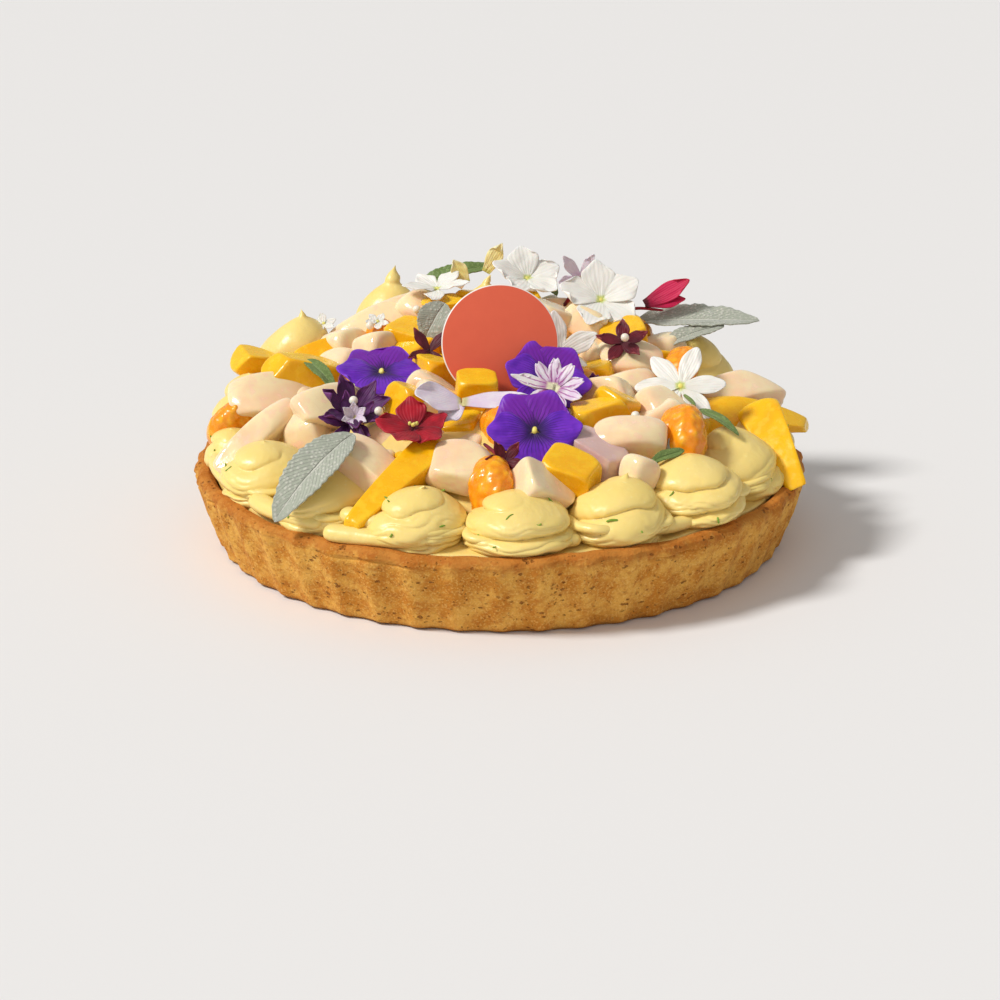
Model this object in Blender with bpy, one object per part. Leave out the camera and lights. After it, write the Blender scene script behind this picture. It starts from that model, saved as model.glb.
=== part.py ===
"""A round fruit tart: a fluted shortcrust shell filled with lime cream, a ring of piped cream
kisses, a heap of cut fruit, edible flowers and sage leaves, and a round topper stood in the middle.

Every piece is its own object. Shapes are rings of points worked out by formulas and joined into
closed solids. Pieces that touch give way to each other: the softer one is cut back by a slightly
grown copy of the firmer one, as fruit pressed into cream leaves its own shape in it.
"""

import math

import bmesh
import bpy
from mathutils import Euler, Matrix, Vector

MM = 0.001
GAP = 0.4 * MM  # clearance between pieces that touch
WELD = 0.004 * MM  # corners nearer than this after a cut are one corner

# Shortcrust shell, baked in a fluted ring 24 cm across
RIM_RADIUS = 120 * MM
BASE_RADIUS = 111 * MM
SHELL_HEIGHT = 30 * MM
RIM_WIDTH = 6.5 * MM
FLOOR_THICKNESS = 5 * MM
INNER_FOOT_RADIUS = BASE_RADIUS - 6 * MM
FLUTES = 48
FLUTE_DEPTH = 1.3 * MM
STEPS_PER_FLUTE = 2

# Lime cream, a low dome inside the shell
CREAM_EDGE_HEIGHT = 30.5 * MM
CREAM_RISE = 30 * MM
CREAM_SHOULDER = 45 * MM  # the dome starts to fall away at this radius
CREAM_FALL = 65 * MM  # and levels out this much further out
CREAM_SEGMENTS = 48

# Piped kisses
KISS_SEGMENTS = 9
KISS_RINGS = 5
KISS_FOOT = 28 * MM
COIL_DEPTH = 0.07  # how deep the piped spiral cuts, as a share of the radius

# Topper
TOPPER_RADIUS = 22.5 * MM
TOPPER_THICKNESS = 1.6 * MM

COLOURS = {  # name: (base colour, roughness)
    "shortcrust": ((0.58, 0.31, 0.10, 1), 0.75),
    "lime_cream": ((0.84, 0.78, 0.32, 1), 0.40),
    "mango": ((0.93, 0.50, 0.02, 1), 0.35),
    "mandarin": ((0.93, 0.34, 0.01, 1), 0.30),
    "lychee": ((0.86, 0.66, 0.45, 1), 0.30),
    "viola": ((0.12, 0.02, 0.32, 1), 0.50),
    "white_petal": ((0.86, 0.84, 0.76, 1), 0.50),
    "red_petal": ((0.36, 0.005, 0.02, 1), 0.50),
    "lilac_petal": ((0.68, 0.60, 0.68, 1), 0.50),
    "sage": ((0.31, 0.37, 0.29, 1), 0.80),
    "topper": ((0.70, 0.10, 0.04, 1), 0.45),
}


def clear_scene():
    for obj in list(bpy.data.objects):
        bpy.data.objects.remove(obj)


def material(name):
    """The Principled material of this name, made the first time it is asked for."""
    found = bpy.data.materials.get(name)
    if found:
        return found
    colour, roughness = COLOURS[name]
    made = bpy.data.materials.new(name)
    made.use_nodes = True
    shader = made.node_tree.nodes["Principled BSDF"]
    shader.inputs["Base Color"].default_value = colour
    shader.inputs["Roughness"].default_value = roughness
    return made


def add_object(name, shape, material_name, place=None):
    """Turns a bmesh into a named object with its faces pointing out, at the matrix place."""
    bmesh.ops.recalc_face_normals(shape, faces=shape.faces)
    if shape.calc_volume(signed=True) < 0:
        bmesh.ops.reverse_faces(shape, faces=shape.faces)
    mesh = bpy.data.meshes.new(name)
    shape.to_mesh(mesh)
    shape.free()
    mesh.materials.append(material(material_name))
    mesh.shade_smooth()
    mesh.set_sharp_from_angle(angle=math.radians(40))
    obj = bpy.data.objects.new(name, mesh)
    bpy.context.scene.collection.objects.link(obj)
    if place is not None:
        obj.matrix_world = place
    return obj


def loft(rings):
    """A closed solid through rings of points. A ring of one point is a pole; each end is one."""
    shape = bmesh.new()
    made = [[shape.verts.new(point) for point in ring] for ring in rings]
    for low, high in zip(made, made[1:]):
        count = max(len(low), len(high))
        for i in range(count):
            j = (i + 1) % count
            if len(low) == 1:
                shape.faces.new((low[0], high[j], high[i]))
            elif len(high) == 1:
                shape.faces.new((low[i], low[j], high[0]))
            else:
                shape.faces.new((low[i], low[j], high[j], high[i]))
    return shape


def placed(at, turn, order="XYZ"):
    """The matrix for a place in millimetres and turns in degrees, made about X, then Y, then Z,
    or the other way round with the order ZYX."""
    angles = Euler([math.radians(angle) for angle in turn], order)
    return Matrix.Translation(Vector(at) * MM) @ angles.to_matrix().to_4x4()


def around(clock, out, height):
    """A point in millimetres: clock degrees round from the front, seen from above, and out from
    the tart's centre."""
    angle = math.radians(clock)
    return (out * math.sin(angle), -out * math.cos(angle), height)


# ---------------------------------------------------------------- shell and filling


def rim_waviness(angle):
    """The rim's baked unevenness, from -1 to 1."""
    return 0.6 * math.sin(5 * angle + 0.7) + 0.4 * math.sin(11 * angle + 2.1)


def tart_shell():
    """A cup turned from a profile, its outer wall rippled into shallow flutes."""
    wall = RIM_RADIUS - BASE_RADIUS
    profile = (  # radius, height, share of the flute, share of the rim's unevenness
        (BASE_RADIUS - 1.5 * MM, 0, 0.5, 0),
        (BASE_RADIUS + 0.06 * wall, 0.06 * SHELL_HEIGHT, 1, 0),
        (BASE_RADIUS + 0.50 * wall, 0.52 * SHELL_HEIGHT, 1, 0),
        (RIM_RADIUS - 0.8 * MM, SHELL_HEIGHT - 2.5 * MM, 0.8, 0.5),
        (RIM_RADIUS - 1.6 * MM, SHELL_HEIGHT, 0.5, 1),
        (RIM_RADIUS - RIM_WIDTH, SHELL_HEIGHT - 0.3 * MM, 0, 0.5),
        (INNER_FOOT_RADIUS, FLOOR_THICKNESS, 0, 0),
    )
    count = FLUTES * STEPS_PER_FLUTE
    rings = [[(0, 0, 0)]]
    for radius, height, fluted, uneven in profile:
        ring = []
        for i in range(count):
            angle = 2 * math.pi * i / count
            out = radius + fluted * FLUTE_DEPTH / 2 * math.cos(FLUTES * angle)
            rise = uneven * 0.7 * MM * rim_waviness(angle)
            ring.append((out * math.cos(angle), out * math.sin(angle), height + rise))
        rings.append(ring)
    rings.append([(0, 0, FLOOR_THICKNESS)])
    return add_object("tart_shell", loft(rings), "shortcrust")


def cream_height(radius):
    """The height of the cream's dome at this distance from the centre."""
    slope = min(1, max(0, (radius - CREAM_SHOULDER) / CREAM_FALL))
    return CREAM_EDGE_HEIGHT + CREAM_RISE * (1 - slope**2 * (3 - 2 * slope))


def cream_filling():
    """The cream fills the shell and domes up above the rim."""
    top_edge = RIM_RADIUS - RIM_WIDTH - 2 * GAP
    foot = INNER_FOOT_RADIUS - 2 * GAP
    profile = [(foot, FLOOR_THICKNESS + GAP), (top_edge, SHELL_HEIGHT - 1 * MM)]
    profile += [(share * top_edge, cream_height(share * top_edge)) for share in (0.97, 0.84, 0.72, 0.58, 0.42)]
    rings = [[(0, 0, FLOOR_THICKNESS + GAP)]]
    for radius, height in profile:
        angles = [2 * math.pi * i / CREAM_SEGMENTS for i in range(CREAM_SEGMENTS)]
        rings.append([(radius * math.cos(a), radius * math.sin(a), height) for a in angles])
    rings.append([(0, 0, cream_height(0))])
    return add_object("cream_filling", loft(rings), "lime_cream")


def kiss_radius(rise, angle):
    """A piped kiss's radius, as a share of its widest, at a share of its height: a squat bulb that
    draws in to a small peak, with the spiral that the turning nozzle leaves."""
    foot = 0.78 + 0.22 * math.sin(min(1.0, rise / 0.35) * math.pi / 2)
    bulb = (1 - rise**2.6) ** 0.75
    coil = 1 + COIL_DEPTH * math.cos(2 * math.pi * 2.2 * rise + angle)
    return foot * bulb * coil


def piped_kiss(name, clock, out, radius, top, lean=0.0):
    """A kiss of cream piped on the rim of the filling. lean moves its peak sideways, as a share
    of its radius."""
    foot = KISS_FOOT / MM
    height = top - foot
    rings = [[(0, 0, 0)]]
    for step in range(KISS_RINGS):
        rise = step / KISS_RINGS
        ring = []
        for i in range(KISS_SEGMENTS):
            angle = 2 * math.pi * i / KISS_SEGMENTS
            size = radius * kiss_radius(rise, angle)
            x = size * math.cos(angle) + lean * radius * rise**2
            ring.append(Vector((x, size * math.sin(angle), height * rise)) * MM)
        rings.append(ring)
    rings.append([Vector((lean * radius, 0, height)) * MM])
    place = placed(around(clock, out, foot), (0, 0, clock * 2))
    return add_object(name, loft(rings), "lime_cream", place)


# ---------------------------------------------------------------- fruit


def mango_cube(name, at, size, turn, taper=0.12):
    """A hand-cut cube of mango: its top face is smaller than its foot, its edges are softened."""
    shape = bmesh.new()
    bmesh.ops.create_cube(shape, size=1)
    for vert in shape.verts:
        narrow = 1 - taper if vert.co.z > 0 else 1
        vert.co.x *= narrow * (1 + taper * vert.co.y * 0.6)
        vert.co.y *= narrow
        vert.co = Vector(vert.co[axis] * size[axis] * MM for axis in range(3))
    bmesh.ops.bevel(shape, geom=shape.edges[:], offset=1.1 * MM, segments=1, affect="EDGES")
    return add_object(name, shape, "mango", placed(at, turn))


def morsel(size, square, taper, bend, wedge, points=8, rings=5):
    """A rounded piece of fruit along X. square runs from 2, an ellipsoid, towards a box; taper
    narrows the far end, bend curves it down, and wedge thins one long side."""
    half = [extent / 2 * MM for extent in size]
    power = 2 / square

    def rounded(value):
        return math.copysign(abs(value) ** power, value)

    made = [[(-half[0], 0, -bend * MM)]]
    for step in range(1, rings + 1):
        slope = math.pi * step / (rings + 1)
        along, girth = -rounded(math.cos(slope)), math.sin(slope) ** power
        ring = []
        for i in range(points):
            angle = 2 * math.pi * (i + 0.5) / points
            across, up = rounded(math.cos(angle)), rounded(math.sin(angle))
            width = girth * (1 - taper * along)
            ring.append((
                half[0] * along,
                half[1] * across * width,
                half[2] * up * width * (1 - wedge * across) - bend * MM * along**2,
            ))
        made.append(ring)
    made.append([(half[0], 0, -bend * MM)])
    return loft(made)


def mango_slice(name, at, size, turn, bend=3):
    """A long cheek slice of mango, flat cut on two sides and curved along its length."""
    shape = morsel(size, square=3.6, taper=0.12, bend=bend, wedge=0.25)
    return add_object(name, shape, "mango", placed(at, turn))


def mandarin_segment(name, at, size, turn, bend=4):
    """A segment of mandarin: a plump crescent that thins towards its inner edge."""
    shape = morsel(size, square=2.3, taper=0.0, bend=bend, wedge=0.45)
    return add_object(name, shape, "mandarin", placed(at, turn))


def lychee_piece(name, at, size, turn, taper=0.3, bend=3, wedge=0.15):
    """A piece of peeled lychee: smooth, thick flesh, wider at one end and curved."""
    shape = morsel(size, square=2.9, taper=taper, bend=bend, wedge=wedge)
    return add_object(name, shape, "lychee", placed(at, turn))


# ---------------------------------------------------------------- flowers, leaves, topper


def blossom(name, at, radius, turn, material_name, petals=5, cup=3.0, waist=0.42, thickness=1.2):
    """A flower as one lobed, cupped plate. waist is how deep the gaps between petals run in. It is
    spun about its own axis first, then leant sideways, then tilted to the front."""
    lobes = (waist, 0.93, 1.0, 0.93)  # one petal, from gap to gap
    count = petals * len(lobes)

    def ring(share, lift):
        points = []
        for i in range(count):
            angle = 2 * math.pi * i / count
            reach = radius * (share * lobes[i % len(lobes)] if share == 1 else share)
            height = cup * (reach / radius) ** 2 + lift
            points.append(Vector((reach * math.cos(angle), reach * math.sin(angle), height)) * MM)
        return points

    low, high = -thickness / 2, thickness / 2
    inner = 0.6 * waist  # kept inside the gaps between petals
    pole_low, pole_high = [(0, 0, low * MM)], [(0, 0, high * MM)]
    shape = loft([pole_low, ring(inner, low), ring(1, low), ring(1, high), ring(inner, high), pole_high])
    return add_object(name, shape, material_name, placed(at, turn, "ZYX"))


def sage_leaf(name, at, length, width, turn, droop=5.0, thickness=1.2):
    """A pointed leaf along X, arched along its length and folded a little at the midrib."""
    steps = 7
    rings = [[Vector((-length / 2, 0, -droop)) * MM]]
    for step in range(1, steps):
        along = 2 * step / steps - 1
        half = width / 2 * (1 - abs(along) ** 2.4) ** 0.7 * (1 + 0.12 * along)
        middle = -droop * along**2
        section = (
            (-half, middle + 0.12 * half),
            (0, middle - thickness / 2),
            (half, middle + 0.12 * half),
            (0, middle + thickness / 2),
        )
        rings.append([Vector((along * length / 2, y, z)) * MM for y, z in section])
    rings.append([Vector((length / 2, 0, -droop)) * MM])
    return add_object(name, loft(rings), "sage", placed(at, turn))


def topper(at, turn):
    """A plain round card, stood on edge in the heap."""
    shape = bmesh.new()
    bmesh.ops.create_cone(
        shape,
        cap_ends=True,
        segments=32,
        radius1=TOPPER_RADIUS,
        radius2=TOPPER_RADIUS,
        depth=TOPPER_THICKNESS,
    )
    return add_object("round_topper", shape, "topper", placed(at, turn))


# ---------------------------------------------------------------- pieces giving way to each other


def grown_copy(obj):
    """A copy of the piece with every face moved out by the gap, used as a cutter."""
    shape = bmesh.new()
    shape.from_mesh(obj.data)
    bmesh.ops.triangulate(shape, faces=shape.faces)
    shape.normal_update()
    moves = [vert.normal * GAP * min(vert.calc_shell_factor(), 2.5) for vert in shape.verts]
    for vert, move in zip(shape.verts, moves):
        vert.co += move
    mesh = bpy.data.meshes.new("cutter")
    shape.to_mesh(mesh)
    shape.free()
    cutter = bpy.data.objects.new("cutter", mesh)
    bpy.context.scene.collection.objects.link(cutter)
    cutter.matrix_world = obj.matrix_world
    cutter.hide_render = True
    cutter.display_type = "WIRE"
    return cutter


def world_box(obj):
    corners = [obj.matrix_world @ Vector(corner) for corner in obj.bound_box]
    return [(min(c[k] for c in corners), max(c[k] for c in corners)) for k in range(3)]


def boxes_meet(first, second):
    return all(a[0] < b[1] + GAP and b[0] < a[1] + GAP for a, b in zip(first, second))


def keep_largest_body(shape):
    """Removes the crumbs that a cut leaves beside the main piece."""
    left, bodies = set(shape.verts), []
    while left:
        todo, body = [left.pop()], set()
        while todo:
            vert = todo.pop()
            body.add(vert)
            for edge in vert.link_edges:
                other = edge.other_vert(vert)
                if other in left:
                    left.remove(other)
                    todo.append(other)
        bodies.append(body)
    bodies.sort(key=lambda body: sum(face.calc_area() for face in {f for v in body for f in v.link_faces}))
    for body in bodies[:-1]:
        bmesh.ops.delete(shape, geom=list(body), context="VERTS")


def cut_back(obj, cutter):
    """Takes the cutter out of the piece and keeps what is left as its mesh."""
    cut = obj.modifiers.new("give_way", "BOOLEAN")
    cut.operation = "DIFFERENCE"
    cut.solver = "EXACT"
    cut.object = cutter
    graph = bpy.context.evaluated_depsgraph_get()
    shape = bmesh.new()
    shape.from_mesh(obj.evaluated_get(graph).to_mesh())
    bmesh.ops.remove_doubles(shape, verts=shape.verts, dist=WELD)
    bmesh.ops.dissolve_degenerate(shape, edges=shape.edges, dist=WELD)
    bmesh.ops.triangulate(shape, faces=shape.faces)
    keep_largest_body(shape)
    obj.modifiers.clear()
    shape.to_mesh(obj.data)
    shape.free()


def give_way(pieces):
    """Each piece is cut back by those before it in the list that it meets. The cutters are made
    while every piece is still whole."""
    bpy.context.view_layer.update()
    boxes = [world_box(piece) for piece in pieces]
    cutters = [grown_copy(piece) for piece in pieces]
    bpy.context.view_layer.update()
    for index, piece in enumerate(pieces):
        for k in range(index):
            if boxes_meet(boxes[index], boxes[k]):
                cut_back(piece, cutters[k])
    for cutter in cutters:
        bpy.data.objects.remove(cutter)


# ---------------------------------------------------------------- the tart


def flowers_leaves_and_topper():
    """Thin pieces on top of the heap. Turns face them towards the front and up."""
    viola = {"material_name": "viola", "waist": 0.62}
    white = {"material_name": "white_petal"}
    return [
        topper(at=(0, -12, 78), turn=(70, 0, 0)),
        blossom("viola_left", (-46, -7, 65), 18, (18, 4, 18), **viola),
        blossom("viola_centre", (18, -24, 67), 17.5, (40, 10, 0), **viola),
        blossom("viola_front", (12.5, -64, 59), 18, (40, 4, 18), **viola),
        blossom("white_phlox_back", (41, 42, 82.5), 17, (45, 8, 10), **white, cup=2),
        blossom("white_phlox_right", (69, -20, 63.5), 16, (48, -6, 60), **white, waist=0.3),
        blossom("white_phlox_top", (11, 56, 86), 16, (30, 12, 20), **white),
        blossom("white_phlox_left", (-25, 52, 83.5), 14, (20, -10, 50), **white),
        blossom("red_phlox", (-30.5, -61, 58.5), 14.5, (34, 0, 30), "red_petal"),
        blossom("lilac_phlox", (-15, -46, 63.5), 17, (30, 0, 10), "lilac_petal", petals=3, waist=0.2),
        sage_leaf("sage_leaf_front", (-66, -82, 47), 43, 19, (-10, 27, -129), droop=3),
        sage_leaf("sage_leaf_back", (82, 50, 71), 50, 19, (7, -4, -9), droop=2),
    ]


def fruit():
    """The cut fruit, from the top of the heap down."""
    return [
        mango_cube("mango_cube_topper", (-9, -27, 63), (14, 13, 14), (6, 2, 8)),
        mango_cube("mango_cube_left", (-36, 32, 66), (18, 17, 16), (8, 10, -28)),
        mango_cube("mango_cube_wedge", (-79, 8, 59), (25, 16, 14), (-4, 22, 24), 0.3),
        mango_cube("mango_cube_edge", (-99, 32, 58), (17, 12, 10), (8, 16, 12)),
        mango_cube("mango_cube_middle", (-34, -34, 60), (16, 14, 13), (10, 24, 40)),
        mango_cube("mango_cube_right", (37, -41, 58), (20, 13, 11), (8, -10, 12)),
        mango_cube("mango_cube_front", (25, -79, 48), (19, 15, 13), (16, 14, -22)),
        mango_cube("mango_cube_back", (50, 27, 64), (22, 18, 18), (4, -10, 16)),
        mango_cube("mango_cube_inner", (-25, 0, 61), (16, 15, 16), (10, 12, 30)),
        mango_cube("mango_cube_top", (-23, 46, 75), (15, 14, 12), (6, -8, 20)),
        mango_slice("mango_slice_front", (-37, -84, 46), (49, 10.5, 7.5), (20, -20, 49), 2),
        mango_slice("mango_slice_right", (105, -30, 43), (37, 12, 7), (30, 29, -71), 2),
        mango_slice("mango_slice_side", (102, -3, 45), (40, 14, 8), (26, 6, 14), 3),
        mandarin_segment("mandarin_left", (-103, -7, 43), (24, 14, 15), (10, -14, 20)),
        mandarin_segment("mandarin_front", (-3, -88, 46), (23, 15, 12), (0, -64, 90), 3),
        mandarin_segment("mandarin_right", (67, -53, 50), (25, 16, 13), (-6, -56, 82), 4),
        mandarin_segment("mandarin_back", (2, 24, 68), (26, 14, 13), (12, 0, 160)),
        lychee_piece("lychee_left", (-88, -8, 52), (32, 22, 10), (30, 8, 14)),
        lychee_piece("lychee_strip", (-93, -33, 46), (34, 10, 8), (30, -32, 38), 0.1, 1),
        lychee_piece("lychee_wedge", (-50, -73, 48), (26, 17, 9), (28, 26, -40), 0.25, 2),
        lychee_piece("lychee_front", (-15, -77, 50), (20, 15, 11), (30, 8, -16)),
        lychee_piece("lychee_low", (14, -88, 45), (18, 17, 14), (24, 6, 30), 0.4, 1),
        lychee_piece("lychee_lilac", (34, -66, 51), (22, 17, 12), (34, 14, -30), 0.3, 2),
        lychee_piece("lychee_right", (48, -56, 54), (25, 15, 11), (26, 0, 6)),
        lychee_piece("lychee_small", (50, -75, 47), (13, 12, 12), (0, 20, 30), 0.2, 0),
        lychee_piece("lychee_side", (97, 12, 51), (32, 19, 9), (24, 4, 8), 0.35, 3),
        lychee_piece("lychee_slab", (-46, 50, 69), (44, 24, 10), (34, -14, 24), 0.2, 3),
        lychee_piece("lychee_middle", (63, -23, 57), (20, 17, 12), (18, 6, 30)),
        lychee_piece("lychee_back", (22, 56, 70), (28, 20, 12), (-24, 6, 20)),
    ]


def kisses():
    """The ring of piped kisses, clockwise round from the front. They stand taller at the back."""
    ring = (  # clock, out, radius, top, lean
        (-18, 97, 19.5, 48.5, 0.1),
        (4, 97.5, 20, 47, -0.15),
        (24.5, 97.5, 19.5, 48, 0.25),
        (45.5, 97, 20, 50, 0.1),
        (66, 97.5, 18, 50, 0.35),
        (85, 98.5, 16.5, 49, -0.2),
        (103, 96, 18.5, 53, 0.2),
        (123, 95, 19, 65, 0.1),
        (143.5, 95, 19, 63, 0.3),
        (164, 94, 19.5, 70, -0.2),
        (-174, 93, 19.5, 78, 0.2),
        (-149, 91, 21, 85, 0.15),
        (-122, 96.5, 19.5, 71, -0.3),
        (-99, 98, 17.5, 57, 0.2),
        (-80, 101, 14.5, 44, 0.3),
        (-61, 97.5, 19, 49, 0.1),
        (-39.5, 97, 19.5, 48, -0.1),
    )
    return [piped_kiss(f"cream_kiss_{number:02d}", *sizes) for number, sizes in enumerate(ring, 1)]


def main():
    clear_scene()
    firm = [tart_shell(), *flowers_leaves_and_topper()]
    give_way([*firm, cream_filling(), *fruit(), *kisses()])


main()
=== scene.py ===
import math

import bmesh
import bpy
import numpy as np
from mathutils import Euler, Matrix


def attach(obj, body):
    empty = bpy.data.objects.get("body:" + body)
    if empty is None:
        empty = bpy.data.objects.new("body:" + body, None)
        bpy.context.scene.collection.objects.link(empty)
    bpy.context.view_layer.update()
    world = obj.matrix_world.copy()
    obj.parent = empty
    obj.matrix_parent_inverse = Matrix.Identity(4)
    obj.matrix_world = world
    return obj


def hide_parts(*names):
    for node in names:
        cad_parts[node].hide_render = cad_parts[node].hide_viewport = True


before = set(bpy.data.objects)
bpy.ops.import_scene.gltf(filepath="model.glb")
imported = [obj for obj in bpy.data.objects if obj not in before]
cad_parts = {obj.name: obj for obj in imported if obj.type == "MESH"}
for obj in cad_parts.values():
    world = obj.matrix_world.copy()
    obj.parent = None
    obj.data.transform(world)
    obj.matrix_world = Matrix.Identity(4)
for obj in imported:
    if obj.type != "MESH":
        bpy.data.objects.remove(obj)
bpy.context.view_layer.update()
MM = 0.001

# ---------------------------------------------------------------- shortcrust shell
# A sweet shortcrust case baked blind in a fluted ring 24 cm across: 48 soft flutes, a blunt
# browned rim with a baked split under it, and a crumbly wall full of small pits.

FLUTES = 48


def waves(points, size, seed, count=9):
    """Smooth unevenness from about -1 to 1: the sum of sine waves in random directions, each
    about size millimetres long."""
    chance = np.random.default_rng(seed)
    ways = chance.normal(size=(count, 3))
    ways /= np.linalg.norm(ways, axis=1, keepdims=True)
    ways *= 2 * np.pi / size * chance.uniform(0.6, 1.6, (count, 1))
    return np.sin(points @ ways.T + chance.uniform(0, 6.3, count)).sum(-1) * 1.7 / count


def turned(turn, order="XYZ"):
    """The rotation of these degrees as a matrix for rows of points."""
    return np.array(Euler([math.radians(angle) for angle in turn], order).to_matrix()).T


def surface(name, grids, skin, replaces=(), thick=0.0, closed=True, body="root"):
    """One mesh piece from grids of points in millimetres. Each grid is (points, chart): an array
    (rows, columns, 3) and its map (rows, columns, 2). Points that fall together are joined."""
    points, charts, quads, start = [], [], [], 0
    for place, chart in grids:
        rows, columns = place.shape[:2]
        index = np.arange(rows * columns).reshape(rows, columns) + start
        corners = (index[:-1, :-1], index[:-1, 1:], index[1:, 1:], index[1:, :-1])
        quads.append(np.stack(corners, -1).reshape(-1, 4))
        points.append(place.reshape(-1, 3))
        charts.append(chart.reshape(-1, 2))
        start += rows * columns
    points, charts, quads = np.concatenate(points) * MM, np.concatenate(charts), np.concatenate(quads)
    mesh = bpy.data.meshes.new(name)
    mesh.vertices.add(len(points))
    mesh.vertices.foreach_set("co", points.ravel())
    mesh.loops.add(quads.size)
    mesh.loops.foreach_set("vertex_index", quads.ravel())
    mesh.polygons.add(len(quads))
    mesh.polygons.foreach_set("loop_start", np.arange(0, quads.size, 4))
    mesh.update(calc_edges=True)
    mesh.uv_layers.new(name="chart").data.foreach_set("uv", charts[quads.ravel()].ravel())
    made = bmesh.new()
    made.from_mesh(mesh)
    bmesh.ops.remove_doubles(made, verts=made.verts, dist=2e-6)
    bmesh.ops.dissolve_degenerate(made, edges=made.edges, dist=1e-7)
    if closed:
        bmesh.ops.recalc_face_normals(made, faces=made.faces)
    made.to_mesh(mesh)
    made.free()
    mesh.shade_smooth()
    mesh.materials.append(skin)
    piece = bpy.data.objects.new(name, mesh)
    bpy.context.scene.collection.objects.link(piece)
    if thick:
        solid = piece.modifiers.new("thickness", "SOLIDIFY")
        solid.thickness = thick * MM
        solid.offset = 0
    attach(piece, body)
    if replaces:
        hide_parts(*replaces)
    return piece


def chart_of(rows, columns):
    """The plain map of a grid: columns run across, rows run up, both from 0 to 1."""
    return np.stack(np.meshgrid(np.linspace(0, 1, columns), np.linspace(0, 1, rows)), -1)


class Skin:
    """A Principled material and the nodes that shade it. add makes a node: a value that is a
    socket is linked to the input of that name or number, any other is set on it."""

    def __init__(self, name, colour, roughness, **inputs):
        self.material = bpy.data.materials.new(name)
        self.material.use_nodes = True
        self.tree = self.material.node_tree
        self.shader = self.tree.nodes["Principled BSDF"]
        self.put(self.shader, {"Base Color": (*colour, 1), "Roughness": roughness})
        self.put(self.shader, {key.replace("_", " "): value for key, value in inputs.items()})
        self.place = self.add("TexCoord").outputs["Object"]
        self.bumped = None

    def put(self, node, values):
        for key, value in values.items():
            if isinstance(value, bpy.types.NodeSocket):
                self.tree.links.new(value, node.inputs[key])
            else:
                node.inputs[key].default_value = value

    def add(self, kind, values=None, **settings):
        node = self.tree.nodes.new("ShaderNode" + kind)
        for key, value in settings.items():
            setattr(node, key, value)
        self.put(node, values or {})
        return node

    def noise(self, size, detail=3.0, place=None, **more):
        """Noise from 0 to 1 with spots about size millimetres across."""
        values = {"Vector": place or self.place, "Scale": 1 / (size * MM), "Detail": detail}
        values.update(more)
        return self.add("TexNoise", values).outputs["Fac"]

    def cells(self, size, place=None, **settings):
        """The distance from the middle of cells about size millimetres across."""
        values = {"Vector": place or self.place, "Scale": 1 / (size * MM)}
        return self.add("TexVoronoi", values, **settings).outputs["Distance"]

    def span(self, value, low, high, to_low=0.0, to_high=1.0):
        """value from low to high becomes to_low to to_high, smoothly, and stops there."""
        values = {0: value, 1: low, 2: high, 3: to_low, 4: to_high}
        return self.add("MapRange", values, interpolation_type="SMOOTHSTEP").outputs[0]

    def sum(self, first, second, operation="ADD"):
        return self.add("Math", {0: first, 1: second}, operation=operation).outputs[0]

    def part(self, vector, name):
        return self.add("SeparateXYZ", {0: vector}).outputs[name]

    def stretched(self, scale, place=None):
        """Coordinates stretched along X, Y and Z."""
        return self.add("Mapping", {"Vector": place or self.place, "Scale": scale}).outputs[0]

    def blend(self, amount, first, second):
        """From the first colour to the second."""
        pair = (first, second)
        first, second = (one if isinstance(one, bpy.types.NodeSocket) else (*one, 1) for one in pair)
        return self.add("Mix", {0: amount, 6: first, 7: second}, data_type="RGBA").outputs[2]

    def bump(self, height, depth):
        """A relief depth millimetres deep, over those already added."""
        values = {"Height": height, "Distance": depth * MM}
        if self.bumped:
            values["Normal"] = self.bumped
        self.bumped = self.add("Bump", values).outputs[0]
        self.put(self.shader, {"Normal": self.bumped})


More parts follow.
